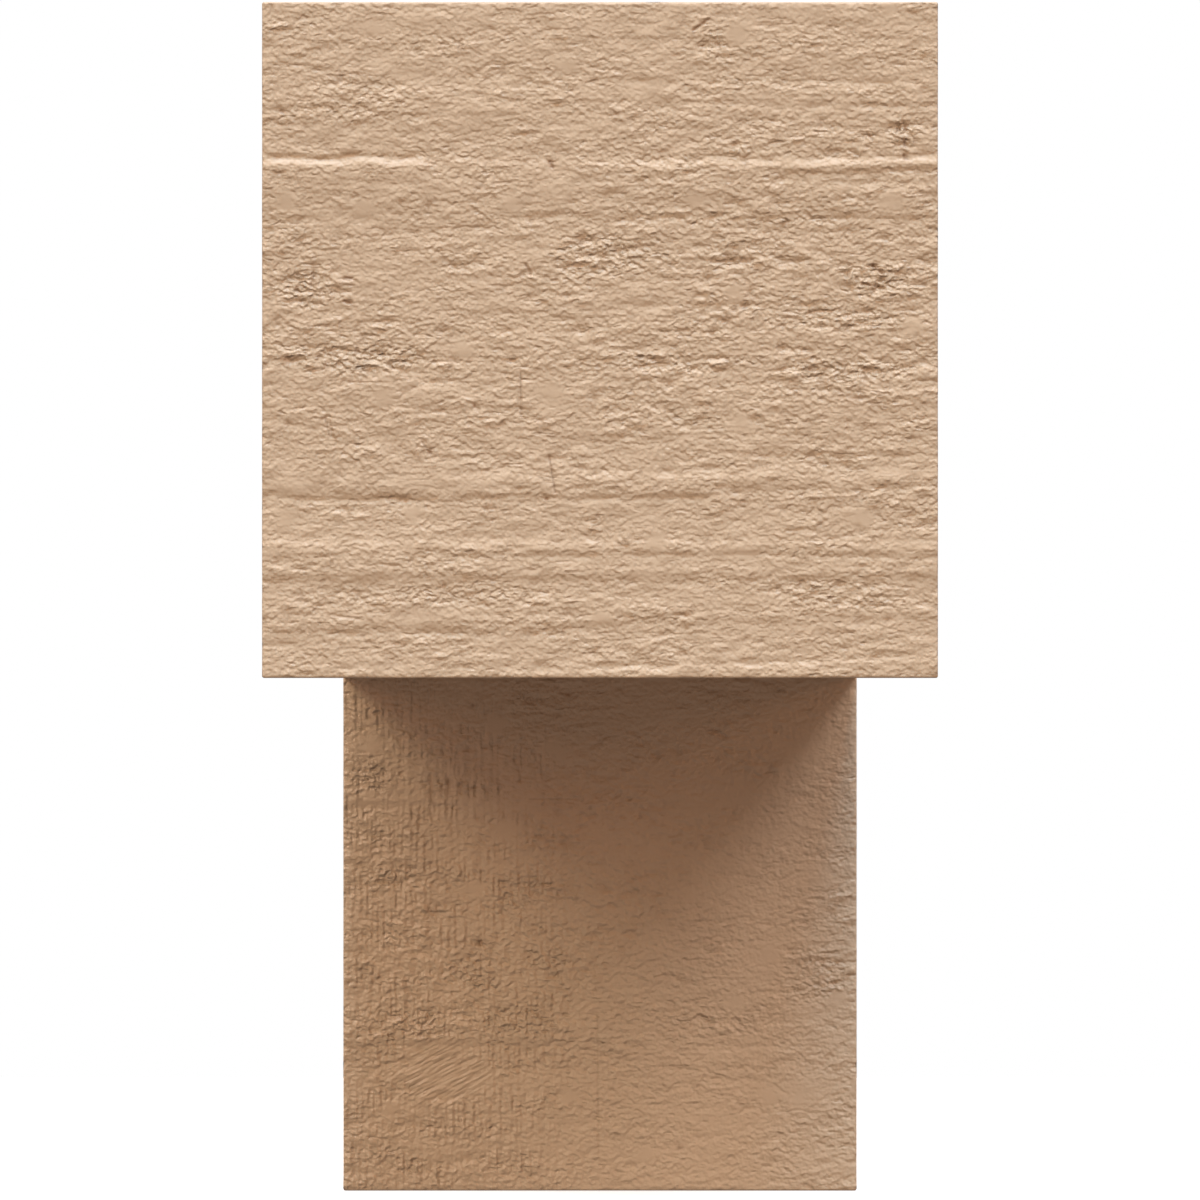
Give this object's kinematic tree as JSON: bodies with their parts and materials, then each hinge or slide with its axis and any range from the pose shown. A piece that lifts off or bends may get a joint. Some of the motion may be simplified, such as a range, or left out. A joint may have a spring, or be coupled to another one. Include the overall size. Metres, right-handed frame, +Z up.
{
  "type": "corbel",
  "caption": "Timber-look wall corbel: a square foot against the wall, an arm of the same width reaching out over it, and a wider square block at the arm's end.",
  "frame": {"origin": "on the flat wall face at the back, on the centre line and halfway up", "axes": "+Z up, -Y out from the wall to the front, +X to the right as seen from the front"},
  "size_m": [0.165, 0.2921, 0.2922],
  "materials": {
    "primed_urethane": "matte tan primer over a cast rough-sawn timber grain"
  },
  "bodies": {
    "root": {"corbel": "primed_urethane"}
  },
  "joints": []
}
